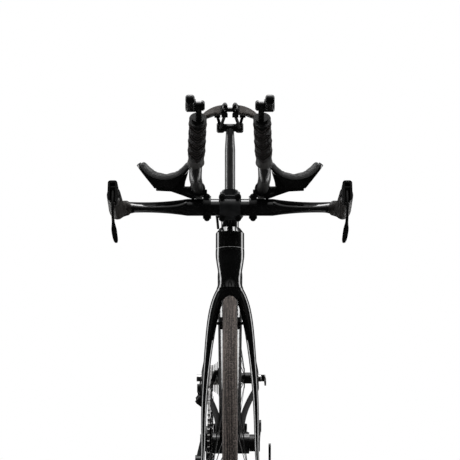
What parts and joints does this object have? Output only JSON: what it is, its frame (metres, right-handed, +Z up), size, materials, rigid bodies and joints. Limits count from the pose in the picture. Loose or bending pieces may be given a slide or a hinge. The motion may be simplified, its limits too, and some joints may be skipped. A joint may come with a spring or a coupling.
{
  "type": "time trial bicycle",
  "caption": "Time trial bicycle with aero frame, deep rims, base bar with horns, armrests, upright extensions with bar-end shifters and a split-nose saddle.",
  "frame": {"origin": "on the ground, midway between the two wheel contacts, in the bike's middle plane", "axes": "+Z up, -Y the way the bike rides, +X the bike's left side; the chain is at -X"},
  "size_m": [0.4454, 1.657, 1.0351],
  "materials": {
    "gloss_black": "gloss lacquer over carbon fibre",
    "satin_carbon": "satin carbon fibre",
    "satin_black": "satin black anodised",
    "black_plastic": "moulded",
    "grip_rubber": "matte ribbed rubber",
    "grip_tape": "textured tape",
    "pad_foam": "fabric over foam",
    "saddle_cover": "smooth cover over foam",
    "tyre_rubber": "matte tread",
    "steel": "bright steel",
    "black_steel": "blackened steel",
    "grey_alloy": "anodised alloy"
  },
  "bodies": {
    "frame": {"frame": "gloss_black", "headset_extension": "gloss_black", "bearings": "steel", "seatpost": "satin_carbon", "saddle_clamp": "satin_black", "saddle_rails": "steel", "saddle_shell": "black_plastic", "saddle_padding": "saddle_cover", "front_derailleur_body": "satin_black", "rear_derailleur_body": "satin_black", "chain": "steel", "rear_axle": "steel", "rear_shift_housing": "black_plastic"},
    "fork": {"fork": "gloss_black", "headset_cover": "gloss_black", "stem": "satin_black", "stem_faceplate": "satin_black", "cockpit_bolts": "steel", "base_bar": "gloss_black", "horn_grips": "grip_tape", "brake_lever_bodies": "satin_black", "bar_clamps": "satin_black", "extensions": "satin_carbon", "extension_grips": "grip_rubber", "armrest_cups": "black_plastic", "armrest_pads": "pad_foam", "shifter_bodies": "satin_black", "front_axle": "steel", "steering_housings": "black_plastic"},
    "front_wheel": {"front_tyre": "tyre_rubber", "front_rim": "satin_carbon", "front_spokes": "black_steel", "front_hub": "satin_black"},
    "rear_wheel": {"rear_tyre": "tyre_rubber", "rear_rim": "satin_carbon", "rear_spokes": "black_steel", "rear_hub": "satin_black"},
    "crankset": {"crank_arm_right": "satin_black", "crank_arm_left": "satin_black", "chainrings": "grey_alloy", "chainring_bolts": "steel"},
    "cassette": {"cassette": "steel"},
    "brake_lever_left": {"brake_lever_left": "satin_black"},
    "brake_lever_right": {"brake_lever_right": "satin_black"},
    "shift_lever_left": {"shift_lever_left": "satin_black"},
    "shift_lever_right": {"shift_lever_right": "satin_black"},
    "front_brake_left": {"front_brake_arm_left": "satin_black"},
    "front_brake_right": {"front_brake_arm_right": "satin_black"},
    "rear_brake_left": {"rear_brake_arm_left": "satin_black"},
    "rear_brake_right": {"rear_brake_arm_right": "satin_black"},
    "front_release": {"front_release_lever": "satin_black"},
    "rear_release": {"rear_release_lever": "satin_black"},
    "rd_outer_link": {"rear_derailleur_outer_link": "satin_black"},
    "rd_inner_link": {"rear_derailleur_inner_link": "satin_black"},
    "rd_knuckle": {"rear_derailleur_knuckle": "satin_black"},
    "rd_cage": {"rear_derailleur_cage": "satin_black"},
    "guide_pulley": {"guide_pulley": "black_plastic"},
    "tension_pulley": {"tension_pulley": "black_plastic"},
    "fd_link": {"front_derailleur_link": "satin_black"},
    "fd_cage": {"front_derailleur_cage": "steel"}
  },
  "joints": [
    {"name": "steering", "type": "hinge", "parent": "frame", "child": "fork", "pos_m": [0, -0.45149, 0.32307], "axis": [0, 0.3007, 0.9537], "range_deg": [-60, 60], "deforming": ["steering_housings"]},
    {"name": "front_wheel_spin", "type": "hinge", "parent": "fork", "child": "front_wheel", "pos_m": [0, -0.4925, 0.336], "axis": [1, 0, 0], "continuous": true},
    {"name": "rear_wheel_spin", "type": "hinge", "parent": "frame", "child": "rear_wheel", "pos_m": [0, 0.4925, 0.336], "axis": [1, 0, 0], "continuous": true},
    {"name": "crank_spin", "type": "hinge", "parent": "frame", "child": "crankset", "pos_m": [0, 0.09395, 0.264], "axis": [1, 0, 0], "continuous": true, "deforming": ["chain"]},
    {"name": "cassette_spin", "type": "hinge", "parent": "frame", "child": "cassette", "pos_m": [0, 0.4925, 0.336], "axis": [1, 0, 0], "continuous": true, "deforming": ["chain"]},
    {"name": "brake_lever_left_pull", "type": "hinge", "parent": "fork", "child": "brake_lever_left", "pos_m": [0.208, -0.52953, 0.87176], "axis": [1, 0, 0], "range_deg": [0, 22], "stiffness_Nm_per_rad": 1.2},
    {"name": "brake_lever_right_pull", "type": "hinge", "parent": "fork", "child": "brake_lever_right", "pos_m": [-0.208, -0.52953, 0.87176], "axis": [1, 0, 0], "range_deg": [0, 22], "stiffness_Nm_per_rad": 1.2},
    {"name": "shift_lever_left_turn", "type": "hinge", "parent": "fork", "child": "shift_lever_left", "pos_m": [0.05137, -0.71711, 1.0179], "axis": [1, 0, 0], "range_deg": [0, 55]},
    {"name": "shift_lever_right_turn", "type": "hinge", "parent": "fork", "child": "shift_lever_right", "pos_m": [-0.05137, -0.71711, 1.0179], "axis": [1, 0, 0], "range_deg": [-24, 64]},
    {"name": "front_brake_left_swing", "type": "hinge", "parent": "fork", "child": "front_brake_left", "pos_m": [0.036, -0.34707, 0.57527], "axis": [0, -0.8545, 0.5194], "range_deg": [0, 2.2]},
    {"name": "rear_brake_left_swing", "type": "hinge", "parent": "frame", "child": "rear_brake_left", "pos_m": [0.036, 0.22473, 0.25414], "axis": [0, 0.2924, -0.9563], "range_deg": [0, 2.2]},
    {"name": "front_brake_right_swing", "type": "hinge", "parent": "fork", "child": "front_brake_right", "pos_m": [-0.036, -0.34707, 0.57527], "axis": [0, 0.8545, -0.5194], "range_deg": [0, 2.2]},
    {"name": "rear_brake_right_swing", "type": "hinge", "parent": "frame", "child": "rear_brake_right", "pos_m": [-0.036, 0.22473, 0.25414], "axis": [0, -0.2924, 0.9563], "range_deg": [0, 2.2]},
    {"name": "front_release_open", "type": "hinge", "parent": "fork", "child": "front_release", "pos_m": [0.0692, -0.4925, 0.336], "axis": [0, 1, 0], "range_deg": [0, 170]},
    {"name": "rear_release_open", "type": "hinge", "parent": "frame", "child": "rear_release", "pos_m": [0.0842, 0.4925, 0.336], "axis": [0, 0, 1], "range_deg": [0, 170]},
    {"name": "rd_outer_link_swing", "type": "hinge", "parent": "frame", "child": "rd_outer_link", "pos_m": [-0.07984, 0.5505, 0.2782], "axis": [0.6266, 0, 0.7793], "range_deg": [-16.61, 44.21], "deforming": ["chain"]},
    {"name": "rd_inner_link_swing", "type": "hinge", "parent": "frame", "child": "rd_inner_link", "pos_m": [-0.06815, 0.5505, 0.2688], "axis": [0.6266, 0, 0.7793], "range_deg": [-16.61, 44.21]},
    {"name": "rd_knuckle_swing", "type": "hinge", "parent": "rd_outer_link", "child": "rd_knuckle", "pos_m": [-0.07984, 0.5045, 0.2782], "axis": [0.6266, 0, 0.7793], "range_deg": [-44.21, 16.61], "deforming": ["chain"]},
    {"name": "rd_cage_swing", "type": "hinge", "parent": "rd_knuckle", "child": "rd_cage", "pos_m": [-0.0468, 0.5045, 0.2735], "axis": [1, 0, 0], "range_deg": [-20, 30], "stiffness_Nm_per_rad": 0.5, "deforming": ["chain"]},
    {"name": "guide_pulley_spin", "type": "hinge", "parent": "rd_cage", "child": "guide_pulley", "pos_m": [-0.0468, 0.5045, 0.2735], "axis": [1, 0, 0], "continuous": true, "deforming": ["chain"]},
    {"name": "tension_pulley_spin", "type": "hinge", "parent": "rd_cage", "child": "tension_pulley", "pos_m": [-0.0468, 0.47681, 0.22483], "axis": [1, 0, 0], "continuous": true, "deforming": ["chain"]},
    {"name": "fd_link_swing", "type": "hinge", "parent": "frame", "child": "fd_link", "pos_m": [-0.033, 0.12697, 0.418], "axis": [0, -1, 0], "range_deg": [0, 18.5], "deforming": ["chain"]},
    {"name": "fd_cage_swing", "type": "hinge", "parent": "fd_link", "child": "fd_cage", "pos_m": [-0.04, 0.12697, 0.398], "axis": [0, -1, 0], "range_deg": [-18.5, 0], "deforming": ["chain"]}
  ],
  "couplings": [
    {"joint": "cassette_spin", "follows": "crank_spin", "ratio": 3.7143},
    {"joint": "guide_pulley_spin", "follows": "crank_spin", "ratio": -4.7273},
    {"joint": "tension_pulley_spin", "follows": "crank_spin", "ratio": 4.7273},
    {"joint": "front_brake_left_swing", "follows": "brake_lever_left_pull", "ratio": 0.1},
    {"joint": "rear_brake_left_swing", "follows": "brake_lever_right_pull", "ratio": 0.1},
    {"joint": "front_brake_right_swing", "follows": "brake_lever_left_pull", "ratio": 0.1},
    {"joint": "rear_brake_right_swing", "follows": "brake_lever_right_pull", "ratio": 0.1},
    {"joint": "rd_outer_link_swing", "follows": "shift_lever_right_turn", "ratio": 0.69},
    {"joint": "rd_inner_link_swing", "follows": "shift_lever_right_turn", "ratio": 0.69},
    {"joint": "rd_knuckle_swing", "follows": "shift_lever_right_turn", "ratio": -0.69},
    {"joint": "fd_link_swing", "follows": "shift_lever_left_turn", "ratio": 0.33636},
    {"joint": "fd_cage_swing", "follows": "shift_lever_left_turn", "ratio": -0.33636}
  ]
}
